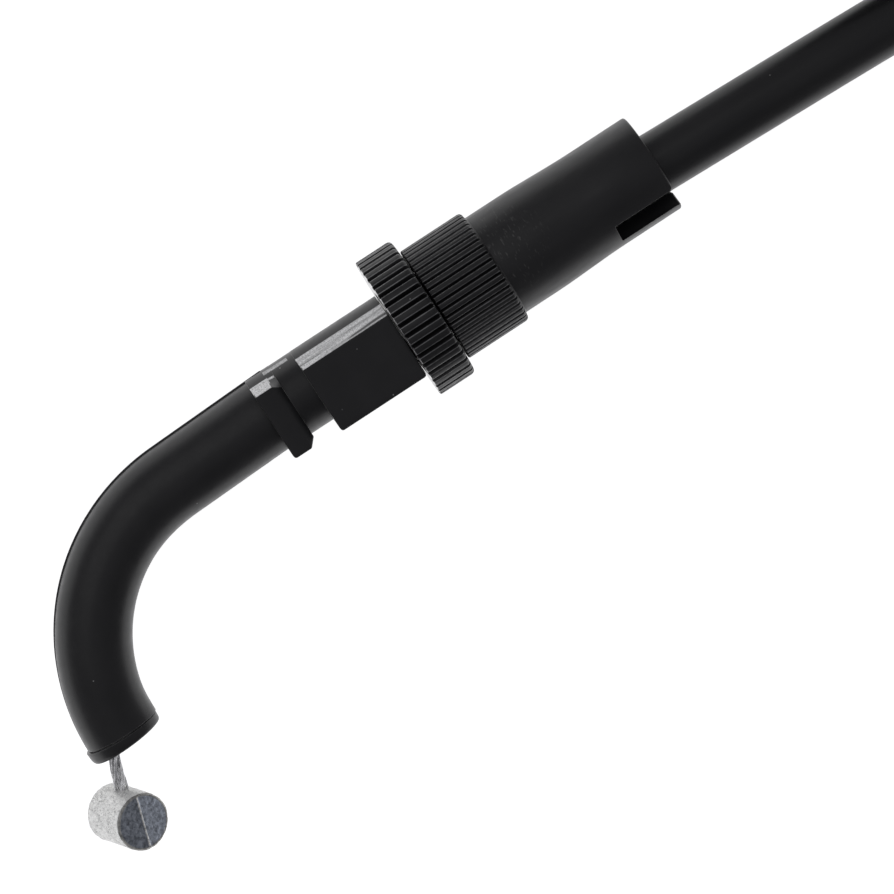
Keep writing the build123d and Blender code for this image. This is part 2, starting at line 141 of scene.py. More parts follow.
def piece(name, shell, body, materials, replaces=(), sharp=35.0, pick=None):
    """A shell of (points in millimetres, faces) as an object on a body. pick(normal, centre) gives
    a face's material number."""
    verts, faces = shell
    mesh = bpy.data.meshes.new(name)
    mesh.from_pydata([Vector(v) * MM for v in verts], [], faces)
    mesh.validate()
    obj = bpy.data.objects.new(name, mesh)
    bpy.context.scene.collection.objects.link(obj)
    for material in materials:
        mesh.materials.append(MATERIALS[material])
    tidy = bmesh.new()
    tidy.from_mesh(mesh)
    bmesh.ops.remove_doubles(tidy, verts=tidy.verts, dist=0.0005 * MM)
    bmesh.ops.recalc_face_normals(tidy, faces=tidy.faces)
    tidy.to_mesh(mesh)
    tidy.free()
    mesh.shade_smooth()
    if sharp:
        mesh.set_sharp_from_angle(angle=math.radians(sharp))
    if pick:
        for face in mesh.polygons:
            face.material_index = pick(face.normal, face.center / MM)
    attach(obj, body)
    if replaces:
        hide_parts(*replaces)
    return obj


def joined(*shells):
    verts, faces = [], []
    for more_verts, more_faces in shells:
        start = len(verts)
        verts += more_verts
        faces += [tuple(i + start for i in face) for face in more_faces]
    return verts, faces


def skin(rings, closed=False):
    """Faces between rings of equally many points. closed joins the last ring to the first, and
    otherwise both ends are capped."""
    count = len(rings[0])
    verts = [Vector(p) for ring in rings for p in ring]
    faces = []
    for k in range(len(rings) if closed else len(rings) - 1):
        a, b = k * count, (k + 1) % len(rings) * count
        for i in range(count):
            j = (i + 1) % count
            faces.append((a + i, a + j, b + j, b + i))
    if not closed:
        faces.append(tuple(range(count)))
        faces.append(tuple(len(verts) - count + i for i in range(count)))
    return verts, faces


def circle(x, radius, count=96, centre=(0.0, 0.0)):
    """Ring square to X; radius is a number or a function of the angle from +Y towards +Z."""
    cy, cz = centre
    ring = []
    for i in range(count):
        a = TAU * i / count
        r = radius(a) if callable(radius) else radius
        ring.append(Vector((x, cy + r * math.cos(a), cz + r * math.sin(a))))
    return ring


def lathe(profile, count=96, centre=(0.0, 0.0), closed=True):
    """Turns (x, radius) points about a line along X."""
    return skin([circle(x, r, count, centre) for x, r in profile], closed)


def moved(shell, matrix):
    verts, faces = shell
    return [matrix @ Vector(v) for v in verts], faces


def pointing(direction, origin, across=None):
    """Matrix that takes +X to a direction and the origin to a point; +Y goes towards across."""
    x = Vector(direction).normalized()
    helper = Vector(across) if across is not None else Vector((0, 0, 1))
    z = x.cross(helper).normalized()
    y = z.cross(x)
    return Matrix.Translation(Vector(origin)) @ Matrix((x, y, z)).transposed().to_4x4()


def corner(x0, r0, x1, r1, steps=4, radius_first=True):
    """Quarter round from (x0, r0) to (x1, r1) that starts along the radius, or along x."""
    points = []
    for k in range(steps + 1):
        s, c = math.sin(math.pi / 2 * k / steps), math.cos(math.pi / 2 * k / steps)
        fx, fr = (1 - c, s) if radius_first else (s, 1 - c)
        points.append((x0 + (x1 - x0) * fx, r0 + (r1 - r0) * fr))
    return points


# ------------------------------------------------------------------ materials


class Shader:
    """A Principled material whose texture nodes read the object's own millimetres."""

    def __init__(self, name, color, roughness, metallic=0.0, ior=1.5):
        self.material = bpy.data.materials.new(name)
        self.material.use_nodes = True
        self.tree = self.material.node_tree
        self.bsdf = self.tree.nodes["Principled BSDF"]
        self.bsdf.inputs["Base Color"].default_value = (*color, 1)
        self.bsdf.inputs["Roughness"].default_value = roughness
        self.bsdf.inputs["Metallic"].default_value = metallic
        self.bsdf.inputs["IOR"].default_value = ior
        self.coord = self.tree.nodes.new("ShaderNodeTexCoord").outputs["Object"]
        self.normal = None

    def link(self, source, target):
        self.tree.links.new(source, target)

    def place(self, stretch=(1, 1, 1)):
        mapping = self.tree.nodes.new("ShaderNodeMapping")
        mapping.inputs["Scale"].default_value = [s / MM for s in stretch]
        self.link(self.coord, mapping.inputs["Vector"])
        return mapping.outputs["Vector"]

    def noise(self, scale, detail=3.0, stretch=(1, 1, 1), distortion=0.0):
        """Noise with that many features per millimetre."""
        node = self.tree.nodes.new("ShaderNodeTexNoise")
        node.inputs["Scale"].default_value = scale
        node.inputs["Detail"].default_value = detail
        node.inputs["Distortion"].default_value = distortion
        self.link(self.place(stretch), node.inputs["Vector"])
        return node.outputs["Fac"]

    def cells(self, scale, stretch=(1, 1, 1)):
        node = self.tree.nodes.new("ShaderNodeTexVoronoi")
        node.inputs["Scale"].default_value = scale
        self.link(self.place(stretch), node.inputs["Vector"])
        return node.outputs["Distance"]

    def ramp(self, source, *stops):
        """Colour ramp through (position, grey or colour) stops."""
        node = self.tree.nodes.new("ShaderNodeValToRGB")
        band = node.color_ramp
        while len(band.elements) < len(stops):
            band.elements.new(0.5)
        for element, (position, value) in zip(band.elements, stops):
            element.position = position
            element.color = (*value, 1) if isinstance(value, tuple) else (value, value, value, 1)
        self.link(source, node.inputs["Fac"])
        return node.outputs["Color"]

    def mix(self, factor, a, b, kind="MIX"):
        """Mixes two colours; each of the three is an output or a plain value."""
        node = self.tree.nodes.new("ShaderNodeMix")
        node.data_type = "RGBA"
        node.blend_type = kind
        colours = [s for s in node.inputs if s.type == "RGBA"]
        for value, socket in ((factor, node.inputs[0]), (a, colours[0]), (b, colours[1])):
            if isinstance(value, (int, float)):
                socket.default_value = value
            elif isinstance(value, tuple):
                socket.default_value = (*value, 1)
            else:
                self.link(value, socket)
        return next(s for s in node.outputs if s.type == "RGBA")

    def near(self, point, reach):
        """Distance of the surface from a point of the object, as a share of reach."""
        node = self.tree.nodes.new("ShaderNodeVectorMath")
        node.operation = "DISTANCE"
        self.link(self.place(), node.inputs[0])
        node.inputs[1].default_value = point
        scaled = self.tree.nodes.new("ShaderNodeMath")
        scaled.operation = "DIVIDE"
        self.link(node.outputs["Value"], scaled.inputs[0])
        scaled.inputs[1].default_value = reach
        return scaled.outputs["Value"]

    def edges(self, radius):
        """One along sharp edges and nought on open surfaces."""
        bevel = self.tree.nodes.new("ShaderNodeBevel")
        bevel.samples = 8
        bevel.inputs["Radius"].default_value = radius * MM
        geometry = self.tree.nodes.new("ShaderNodeNewGeometry")
        dot = self.tree.nodes.new("ShaderNodeVectorMath")
        dot.operation = "DOT_PRODUCT"
        self.link(bevel.outputs["Normal"], dot.inputs[0])
        self.link(geometry.outputs["Normal"], dot.inputs[1])
        return self.ramp(dot.outputs["Value"], (0.82, 1.0), (0.97, 0.0))

    def color(self, source):
        self.link(source, self.bsdf.inputs["Base Color"])

    def rough(self, source):
        self.link(source, self.bsdf.inputs["Roughness"])

    def bump(self, height, depth):
        """Adds a bump of so many millimetres to what the normal already is."""
        node = self.tree.nodes.new("ShaderNodeBump")
        node.inputs["Strength"].default_value = 1.0
        node.inputs["Distance"].default_value = depth * MM
        self.link(height, node.inputs["Height"])
        if self.normal is not None:
            self.link(self.normal, node.inputs["Normal"])
        self.normal = node.outputs["Normal"]
        self.link(self.normal, self.bsdf.inputs["Normal"])


def black_plastic(name, dark, light, rough_low, rough_high, grain, stretch=(1, 1, 1), edge_wear_and_glint=0.0, patch=None):
    """Moulded black plastic: cloudy tone and gloss, fine grain, a few specks of dust, pale
    edges along sharp edges when a width is given, partly worn and partly a painted highlight, and scuffs
    round patch."""
    s = Shader(name, (dark, dark, dark), rough_low, ior=1.42)
    cloud = s.noise(0.35, 4.0, stretch)
    tone = s.ramp(cloud, (0.3, (dark, dark * 0.99, dark * 1.06)), (0.7, (light, light * 0.98, light * 1.02)))
    dust = s.ramp(s.cells(0.42), (0.0, 1.0), (0.026, 1.0), (0.04, 0.0))
    some = s.ramp(s.noise(0.5, 2.0), (0.52, 0.0), (0.58, 1.0))
    tone = s.mix(s.mix(1.0, dust, some, "MULTIPLY"), tone, (0.33, 0.33, 0.32))
    if patch:
        hairs = s.ramp(s.noise(5.0, 2.0, (1.0, 0.3, 0.3)), (0.6, 0.0), (0.7, 1.0))
        here = s.ramp(s.near(patch, 5.5), (0.35, 1.0), (1.0, 0.0))
        tone = s.mix(s.mix(1.0, hairs, here, "MULTIPLY"), tone, (0.065, 0.065, 0.062))
    # Pale edges: partly worn chips, partly a painted highlight along sharp edges.
    if edge_wear_and_glint:
        chips = s.ramp(s.noise(2.2, 3.0), (0.3, 0.35), (0.6, 1.0))
        tone = s.mix(s.mix(1.0, s.edges(edge_wear_and_glint), chips, "MULTIPLY"), tone, (0.32, 0.32, 0.31))
    s.color(tone)
    s.rough(s.ramp(s.noise(1.3, 5.0, stretch), (0.3, rough_low), (0.72, rough_high)))
    s.bump(s.noise(9.0, 3.0), grain)
    s.bump(s.noise(0.6, 2.0, stretch), grain * 2)
    return s.material


def metal(name, dark, light, rough_low, rough_high, scale, depth, stretch=(1, 1, 1), tint=(1, 1, 1)):
    """Metal with a cloudy or drawn grain."""
    s = Shader(name, tuple(light * t for t in tint), rough_low, 1.0)
    grain = s.noise(scale, 5.0, stretch, 0.4)
    s.color(s.ramp(grain, (0.32, tuple(dark * t for t in tint)), (0.66, tuple(light * t for t in tint))))
    s.rough(s.ramp(s.noise(scale * 0.6, 4.0, stretch), (0.3, rough_low), (0.7, rough_high)))
    s.bump(grain, depth)
    return s


def worn_ridge():
    s = Shader("worn_ridge", (0.03, 0.03, 0.03), 0.3, ior=2.1)
    s.color(s.ramp(s.noise(1.6, 4.0), (0.38, 0.012), (0.62, 0.09)))
    s.rough(s.ramp(s.noise(3.0, 3.0), (0.3, 0.22), (0.7, 0.42)))
    s.bump(s.noise(6.0, 3.0), 0.004)
    return s.material


def painted_facet_highlight():
    """Painted highlight: pale plastic for the light caught by the collar's upper facets and by a band across
    its groove, with long dark scratches.
    """
    s = Shader("painted_facet_highlight", (0.5, 0.5, 0.5), 0.4)
    streaks = s.ramp(s.noise(0.9, 4.0, (0.1, 1.5, 1.5), 0.4), (0.36, 0.03), (0.41, 0.45), (0.6, 0.8))
    speckle = s.ramp(s.noise(6.0, 4.0), (0.36, 0.5), (0.58, 1.0))
    s.color(s.mix(1.0, streaks, speckle, "MULTIPLY"))
    s.rough(s.ramp(s.noise(6.0, 3.0), (0.3, 0.36), (0.7, 0.55)))
    s.bump(s.noise(7.0, 4.0), 0.012)
    return s.material


def cast_zinc_side():
    """Pale cast skin with dark wrinkles and pits."""
    s = metal("cast_zinc_side", 0.7, 0.95, 0.4, 0.58, 2.4, 0.03)
    s.bsdf.inputs["Metallic"].default_value = 0.45
    pits = s.ramp(s.cells(2.2), (0.0, 0.0), (0.08, 0.2), (0.16, 1.0))
    wrinkles = s.ramp(s.noise(3.0, 4.0, (1, 1, 1), 2.0), (0.47, 1.0), (0.5, 0.1), (0.53, 1.0))
    base = s.ramp(s.noise(1.4, 5.0), (0.3, (0.84, 0.84, 0.82)), (0.6, (0.98, 0.98, 0.96)))
    marked = s.ramp(s.noise(0.8, 2.0), (0.35, 0.25), (0.6, 0.95))
    s.color(s.mix(0.6, s.mix(marked, base, wrinkles, "MULTIPLY"), pits, "MULTIPLY"))
    s.bump(wrinkles, 0.03)
    s.bump(pits, 0.02)
    return s.material


def zinc_end_painted_shade(name, shade, tint):
    """Cast skin of the barrel's end faces, painted darker and blue-tinted than the side as painted shade
    with a painted reflection of the dim overhead; the shade number makes a copy lighter, for one half, the
    raised line and the rim.
    """
    s = metal(name, 0.17 * shade, 0.42 * shade, 0.42, 0.6, 2.6, 0.03, (1, 1, 1), tint)
    s.bump(s.noise(7.0, 4.0), 0.02)
    return s.material


def liner_plastic():
    s = Shader("liner_plastic", (0.72, 0.72, 0.69), 0.4)
    s.color(s.ramp(s.noise(1.2, 4.0), (0.3, (0.66, 0.66, 0.62)), (0.7, (0.78, 0.78, 0.75))))
    s.rough(s.ramp(s.noise(2.0, 4.0), (0.3, 0.34), (0.7, 0.5)))
    s.bump(s.noise(6.0, 3.0), 0.003)
    return s.material


def light_table():
    s = Shader("light_table", (0.85, 0.85, 0.85), 0.7)
    s.color(s.ramp(s.noise(0.02, 2.0), (0.3, (0.84, 0.84, 0.84)), (0.7, (0.88, 0.88, 0.88))))
    s.bsdf.inputs["Emission Color"].default_value = (1, 1, 1, 1)
    s.bsdf.inputs["Emission Strength"].default_value = TABLE_GLOW
    return s.material


def make_materials():
    # blue tint: painted reflection of the dim blue-grey overhead on the nipples' end faces
    painted_sky_blue, warm = (0.9, 0.97, 1.09), (1.0, 0.99, 0.95)
    scuffs = (24.5, 1.8, 5.2)  # on the barrel, beside the grip
    along = (0.4, 1, 1)
    return {
        "moulding": black_plastic("moulding", 0.0095, 0.0145, 0.3, 0.4, 0.003, edge_wear_and_glint=0.07),
        "sleeve": black_plastic("sleeve", 0.009, 0.015, 0.32, 0.44, 0.004, along, 0.08, scuffs),
        "ridge": black_plastic("ridge", 0.006, 0.011, 0.34, 0.46, 0.004),
        "sheath": black_plastic("sheath", 0.008, 0.012, 0.3, 0.4, 0.003, (0.3, 1, 1)),
        "tie": black_plastic("tie", 0.012, 0.018, 0.32, 0.42, 0.003),
        "rubber": black_plastic("rubber", 0.011, 0.02, 0.55, 0.75, 0.01),
        "worn": worn_ridge(),
        "facet": painted_facet_highlight(),
        "zinc": cast_zinc_side(),
        # Painted shade: darker, blue-tinted copies of the cast skin for the nipples' end faces, with lighter
        # copies for one half, the raised line and the rim.
        "zinc_face": zinc_end_painted_shade("zinc_face", 0.95, painted_sky_blue),
        "zinc_half": zinc_end_painted_shade("zinc_half", 1.5, painted_sky_blue),
        "zinc_line": zinc_end_painted_shade("zinc_line", 2.2, warm),
        "zinc_rim": zinc_end_painted_shade("zinc_rim", 1.3, warm),
        "strand": metal("strand", 0.45, 0.95, 0.16, 0.3, 2.0, 0.004).material,
        "plated": metal("plated_steel", 0.5, 0.68, 0.24, 0.4, 0.7, 0.004, tint=(1, 1, 0.96)).material,
        "steel": metal("bare_steel", 0.36, 0.58, 0.28, 0.46, 1.6, 0.004, (0.15, 1, 1)).material,
        "bright_face": metal("bright_face", 0.45, 0.85, 0.3, 0.5, 2.2, 0.02).material,
        "liner": liner_plastic(),
        "table": light_table(),
    }


# ------------------------------------------------------------------ camera, lights and table

SEEN_WIDE = 89.4  # width of the view at the object, in millimetres
LENS = 250.0
SENSOR = 36.0
ROLL = 33.2  # degrees that the adjuster's axis climbs in the view
VIEW_MIDDLE = (14.6, -5.4)  # of the view from the collar groove, to the right and up
SHIFT_Y = 0.05  # how far towards -Y the view's middle is moved after that
TOWARDS_CAMERA = Vector((-0.017, 0.16, 0.987)).normalized()
TABLE_GLOW = 0.9
TABLE_HALF = 6000.0
SKY = 0.3
HORIZON = 0.34
MATERIALS = make_materials()


def make_camera():
    data = bpy.data.cameras.new("camera")
    data.lens = LENS
    data.sensor_width = SENSOR
    data.clip_start = 0.01
    data.clip_end = 20.0
    camera = bpy.data.objects.new("camera", data)
    bpy.context.scene.collection.objects.link(camera)
    along = (Vector((1, 0, 0)) - TOWARDS_CAMERA * TOWARDS_CAMERA.x).normalized()
    across = TOWARDS_CAMERA.cross(along)
    roll = math.radians(ROLL)
    right = along * math.cos(roll) - across * math.sin(roll)
    up = along * math.sin(roll) + across * math.cos(roll)
    target = (right * VIEW_MIDDLE[0] + up * VIEW_MIDDLE[1] - Vector((0, SHIFT_Y, 0))) * MM
    distance = LENS / SENSOR * SEEN_WIDE * MM
    turn = Matrix((right, up, TOWARDS_CAMERA)).transposed()
    camera.matrix_world = Matrix.Translation(target + TOWARDS_CAMERA * distance) @ turn.to_4x4()
    bpy.context.scene.camera = camera


def area_light(name, azimuth, elevation, distance, size, power):
    """A soft box that faces the adjuster; azimuth is from +X towards +Y, in degrees."""
    data = bpy.data.lights.new(name, "AREA")
    data.shape = "SQUARE"
    data.size = size
    data.energy = power
    light = bpy.data.objects.new(name, data)
    bpy.context.scene.collection.objects.link(light)
    a, e = math.radians(azimuth), math.radians(elevation)
    away = Vector((math.cos(a) * math.cos(e), math.sin(a) * math.cos(e), math.sin(e)))
    light.location = Vector((0.03, 0.0, 0.0)) + away * distance
    light.rotation_euler = away.to_track_quat("Z", "Y").to_euler()


def sky_band(tree, part, *stops):
    """Grey that changes with one part of the direction, from stops of (part, grey)."""
    spread = tree.nodes.new("ShaderNodeMapRange")
    spread.inputs["From Min"].default_value = -1.0
    tree.links.new(part, spread.inputs["Value"])
    ramp = tree.nodes.new("ShaderNodeValToRGB")
    while len(ramp.color_ramp.elements) < len(stops):
        ramp.color_ramp.elements.new(0.5)
    for element, (place, grey) in zip(ramp.color_ramp.elements, stops):
        element.position = (place + 1) / 2
        element.color = (grey, grey, grey * 1.03, 1)
    tree.links.new(spread.outputs["Result"], ramp.inputs["Fac"])
    return ramp.outputs["Color"]


def make_sky():
    """Dim overhead, a little lighter at the zenith and the horizon, and darker towards -Y."""
    world = bpy.data.worlds.new("studio")
    world.use_nodes = True
    tree = world.node_tree
    coord = tree.nodes.new("ShaderNodeTexCoord").outputs["Generated"]
    split = tree.nodes.new("ShaderNodeSeparateXYZ")
    tree.links.new(coord, split.inputs[0])
    height = sky_band(tree, split.outputs["Z"], (0.0, HORIZON), (0.3, SKY), (0.94, SKY), (1.0, SKY * 1.25))
    side = sky_band(tree, split.outputs["Y"], (-0.6, 0.68), (-0.34, 1.0))
    mixed = tree.nodes.new("ShaderNodeMix")
    mixed.data_type = "RGBA"
    mixed.blend_type = "MULTIPLY"
    mixed.inputs[0].default_value = 1.0
    colours = [s for s in mixed.inputs if s.type == "RGBA"]
    tree.links.new(height, colours[0])
    tree.links.new(side, colours[1])
    result = next(s for s in mixed.outputs if s.type == "RGBA")
    tree.links.new(result, tree.nodes["Background"].inputs["Color"])
    bpy.context.scene.world = world


def make_table():
    size = TABLE_HALF
    top = [(-size, -size, FLOOR_Z), (size, -size, FLOOR_Z), (size, size, FLOOR_Z), (-size, size, FLOOR_Z)]
    mesh = bpy.data.meshes.new("table_top")
    mesh.from_pydata([Vector(p) * MM for p in top], [], [(0, 1, 2, 3)])
    table = bpy.data.objects.new("table_top", mesh)
    bpy.context.scene.collection.objects.link(table)
    mesh.materials.append(MATERIALS["table"])


bpy.context.scene.view_settings.view_transform = "Standard"
make_camera()
make_sky()
area_light("soft_box", azimuth=120, elevation=55, distance=1.2, size=1.0, power=1.2)
make_table()

# ------------------------------------------------------------------ casing: one cord

LEAD_ROUTE = [(35.4, 0.0, 0.0), (50.0, -0.48, 0.0), (71.0, -1.35, -1.3), (90.0, -2.7, -3.7)]
TAIL_ROUTE = [(90.0, FAR_Y + 0.4, HIGH_Z - 0.4), (72.0, FAR_Y, FAR_Z), (54.0, FAR_Y, FAR_Z)]


def smoothstep(value, start, end):
    t = min(1.0, max(0.0, (value - start) / (end - start)))
    return t * t * (3 - 2 * t)


def coil_points(step=15.0):
    """Three and a half turns: outside then inside on the table, inside on top, then half a turn
    outside on top. Each change of place has its own stretch, so that no turn cuts another."""
    points = []
    for k in range(round(3.5 * 360 / step) + 1):
        turned = k * step
        part, lap = turned % 360, int(turned // 360)
        radius, z = COIL_OUTER_R, LOW_Z
        if lap == 0:
            radius -= TURN_STEP * smoothstep(part, 312, 352)
        elif lap == 1:
            radius, z = COIL_INNER_R, LOW_Z + TURN_STEP * smoothstep(part, 268, 312)
        elif lap == 2:
            radius, z = COIL_INNER_R + TURN_STEP * smoothstep(part, 222, 268), HIGH_Z
        else:
            z = HIGH_Z
        a = math.radians(turned - 90)
        reach = radius / (0.75 + 0.25 * math.cos(math.radians(step)))
        points.append((COIL_X + reach * math.cos(a), COIL_Y + reach * math.sin(a), z))
    return points


def make_casing():
    curve = bpy.data.curves.new("casing_cord", "CURVE")
    curve.dimensions = "3D"
    curve.resolution_u = 8
    curve.bevel_depth = CASING_R * MM
    curve.bevel_resolution = 10
    curve.use_fill_caps = True
    spline = curve.splines.new("NURBS")
    points = LEAD_ROUTE + coil_points() + TAIL_ROUTE
    spline.points.add(len(points) - 1)
    for place, point in zip(spline.points, points):
        place.co = (*(Vector(point) * MM), 1)
    spline.order_u = 3
    spline.use_endpoint_u = True
    cord = bpy.data.objects.new("casing_cord", curve)
    bpy.context.scene.collection.objects.link(cord)
    curve.materials.append(MATERIALS["sheath"])
    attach(cord, "casing")
    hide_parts("casing_lead", "casing_coil", "casing_tail")
    return cord


casing_cord = make_casing()

# ------------------------------------------------------------------ elbow


def elbow_track(start_x, end, straight_steps=24, step=1.5):
    """Points and outward directions of the elbow's centreline, from start_x on the adjuster's axis
    along a straight run into the bend, up to so many degrees from +Y about the bend's centre."""
    to_x = BEND_X - start_x
    heading = math.atan2(BEND_Y, to_x) + TAU - math.asin(BEND_R / math.hypot(to_x, BEND_Y))
    run = math.sqrt(to_x**2 + BEND_Y**2 - BEND_R**2)
    outward = Vector((math.sin(heading), -math.cos(heading), 0))
    forward = Vector((math.cos(heading), math.sin(heading), 0))
    track = []
    for k in range(straight_steps):
        track.append((Vector((start_x, 0, 0)) + forward * (run * k / straight_steps), outward))
    first = math.degrees(heading) - 90
    count = math.ceil((90 + end - first) / step)
    for k in range(count + 1):
        a = math.radians(first + (90 + end - first) * k / count)
        away = Vector((math.cos(a), math.sin(a), 0))
        track.append((Vector((BEND_X, BEND_Y, 0)) + away * BEND_R, away))
    return track


def tube_ring(place, outward, radius, fin=0.0, count=92):
    """Ring round the elbow's centreline; fin stands out on the outside of the bend."""
    up = Vector((0, 0, 1))
    half = FIN_WIDE / 2
    edge = math.asin(half / radius)
    ring = []
    for i in range(count):
        a = edge + (TAU - 2 * edge) * i / (count - 1)
        ring.append(place + outward * (radius * math.cos(a)) + up * (radius * math.sin(a)))
    base = radius * math.cos(edge)
    for reach, across in ((0.75, -1.0), (1.0, -0.8), (1.0, 0.8), (0.75, 1.0)):
        ring.append(place + outward * (base + fin * reach) + up * (half * across))
    return ring


def make_elbow_tube():
    """The tube thins a little in the bend, on its inner side, and its fin fades before the mouth."""
    track = elbow_track(COVER_START_X, BEND_END - LIP_TURN)
    outer = []
    for k, (place, out) in enumerate(track):
        share = k / (len(track) - 1)
        thinner = (TUBE_R - BEND_TUBE_R) * smoothstep(share, 0.3, 0.5) * (1 - smoothstep(share, 0.9, 1.0))
        fin = FIN_PROUD * (1 - 0.8 * smoothstep(share, 0.55, 0.95))
        outer.append(tube_ring(place + out * thinner, out, TUBE_R - thinner, fin))
    inner = [tube_ring(p, out, LINING_R) for p, out in reversed(track)]
    piece("elbow_tube", skin(outer + inner, True), "elbow", ["moulding"], ["elbow_cover"])


def make_mouth_ring():
    """Ring with a fine groove where it meets the tube; it narrows a little towards its end."""
    wall = [(0.0, 3.84, 0.0), (0.3, 3.86, 0.0), (0.38, LIP_R - 0.06, 1.0), (0.6, LIP_R, 1.0)]
    wall += [(2.6, LIP_R - 0.04, 1.0), (3.3, LIP_R - 0.1, 0.9), (LIP_TURN - 0.15, LIP_R - 0.2, 0.8)]
    wall += [(LIP_TURN, LIP_R - 0.32, 0.7), (LIP_TURN, MOUTH_BORE_R + 0.15, 0.0)]
    wall += [(LIP_TURN - 0.4, MOUTH_BORE_R, 0.0), (0.0, MOUTH_BORE_R, 0.0)]
    rings = []
    for turn, radius, shifted in wall:
        a = math.radians(90 + BEND_END - LIP_TURN + turn)
        away = Vector((math.cos(a), math.sin(a), 0))
        place = Vector((BEND_X, BEND_Y, 0)) + away * (BEND_R + LIP_SHIFT * shifted)
        ring = []
        for i in range(96):
            b = TAU * i / 96
            ring.append(place + away * (radius * math.cos(b)) + Vector((0, 0, radius * math.sin(b))))
        rings.append(ring)
    piece("mouth_ring_lip", skin(rings, True), "elbow", ["moulding"], ["mouth_ring"])


ARC_STEPS = 22  # along the collar's round side
EDGE_SMALL, EDGE_LARGE = 0.12, 0.3  # roundings of the keyed parts' edges


def key_outline(edge, back, inset=0.0, soft=0.2):
    """Keyed outline as (y, z) points: a round side towards +Y, two slanted facets that end at
    y = edge, two big flats and a back at y = back. inset shrinks all but the round side, and soft
    is the radius of its corners."""
    y0, z0 = COLLAR_R * math.cos(SHOULDER), COLLAR_R * math.sin(SHOULDER)
    slant = math.atan2(y0 - edge, KEY_HALF - z0)
    reach = COLLAR_R * math.cos(SHOULDER - slant)
    planes = [(slant, reach), (math.pi / 2, KEY_HALF), (math.pi, -back)]
    planes += [(1.5 * math.pi, KEY_HALF), (TAU - slant, reach)]
    planes = [(a, d - inset) for a, d in planes]
    radii = [soft * 0.5, soft, soft, soft * 0.5]
    points = []
    for k in range(ARC_STEPS + 1):
        a = -SHOULDER + 2 * SHOULDER * k / ARC_STEPS
        points.append((COLLAR_R * math.cos(a), COLLAR_R * math.sin(a)))
    runs = [12, 18, 24, 18, 12]
    for (a0, d0), (a1, d1), radius, run in zip(planes, planes[1:], radii, runs):
        turn = math.sin(a1 - a0)
        e0, e1 = d0 - radius, d1 - radius
        y = (e0 * math.sin(a1) - e1 * math.sin(a0)) / turn
        z = (e1 * math.cos(a0) - e0 * math.cos(a1)) / turn
        points += line_between(points[-1], (y + radius * math.cos(a0), z + radius * math.sin(a0)), run)
        for k in range(6):
            a = a0 + (a1 - a0) * k / 5
            points.append((y + radius * math.cos(a), z + radius * math.sin(a)))
    return points + line_between(points[-1], points[0], runs[-1])


def line_between(start, end, steps):
    """Points strictly between two points."""
    return [tuple(s + (e - s) * k / steps for s, e in zip(start, end)) for k in range(1, steps)]


def collar_ring(x, edge, back, radius, inset=None):
    """Ring of the collar at x: round where inset is None, otherwise keyed but never inside radius."""
    ring = []
    for y, z in key_outline(edge, back, inset or 0.0):
        reach = math.hypot(y, z)
        scale = radius / reach if inset is None else max(1.0, radius / reach)
        ring.append(Vector((x, y * scale, z * scale)))
    return ring


def make_collar():
    small, turned = EDGE_SMALL, EDGE_LARGE
    core = COLLAR_R - 0.02
    flange, block = (FLANGE_EDGE, FLANGE_BACK), (BLOCK_EDGE, BLOCK_BACK)

    def starting(x, key, radius, way):
        """Rounded start of a keyed part, read from its end face inwards; way is its direction."""
        edge, back = key
        third = small * 0.3
        steps = ((0.0, turned, small), (third, turned * 0.55, third), (small, turned * 0.2, 0.0))
        rings = [collar_ring(x + way * dx, edge, back + cut, radius, inset) for dx, cut, inset in steps]
        return rings + [collar_ring(x + way * turned, edge, back, radius, 0.0)]

    rings = [collar_ring(FLANGE_X0, *flange, TUBE_R - 0.1)] + starting(FLANGE_X0, flange, TUBE_R, 1)
    chamfer = FLANGE_X1 - FLANGE_CHAMFER
    rings += [collar_ring(chamfer - 0.06, *flange, core, 0.0)]
    rings += [collar_ring(chamfer + 0.06, *flange, core, 0.06)]
    rings += [collar_ring(FLANGE_X1 - 0.06, *flange, core, FLANGE_CHAMFER - 0.08)]
    rings += [collar_ring(FLANGE_X1, *flange, core, FLANGE_CHAMFER), collar_ring(FLANGE_X1, *flange, core)]
    for k in range(1, 8):
        x = FLANGE_X1 + (BLOCK_X0 - FLANGE_X1) * k / 8
        rings.append(collar_ring(x, *(flange if k < 4 else block), core))
    rings += [collar_ring(BLOCK_X0, *block, core)] + starting(BLOCK_X0, block, core, 1)
    rings += list(reversed(starting(BLOCK_X1, block, core, -1)))
    rings += [collar_ring(BLOCK_X1, *block, STUD_ROOT_R)]
    rings += [collar_ring(STUD_ROOT_X, *block, STUD_ROOT_R), collar_ring(STUD_ROOT_X, *block, LINING_R)]
    rings += [collar_ring(FLANGE_X0, *block, LINING_R)]

    def pick(normal, centre):
        """Painted highlight: the upper facets are painted pale, and so is a band that crosses the groove,
        for the light that they catch.
        """
        turn = math.degrees(math.atan2(centre.z, centre.y))
        # painted highlight on the upper facets only; the lower facets keep the dark moulding
        facet = 0.85 < normal.y < 0.99 and abs(normal.x) < 0.3 and normal.z > 0.1
        facet = facet and COLLAR_R * math.sin(SHOULDER) + 0.1 < centre.z < KEY_HALF - 0.05
        # painted highlight across the upper side of the groove
        strip = 13 < turn < 23 and -2.3 < centre.x < 0.75 and abs(normal.x) < 0.3
        return 1 if facet or strip else 0

    piece("collar", skin(rings, True), "elbow", ["moulding", "facet"],
          ["elbow_cover"], 30, pick)


make_elbow_tube()
make_mouth_ring()
make_collar()

# ------------------------------------------------------------------ threads, nuts and sleeve


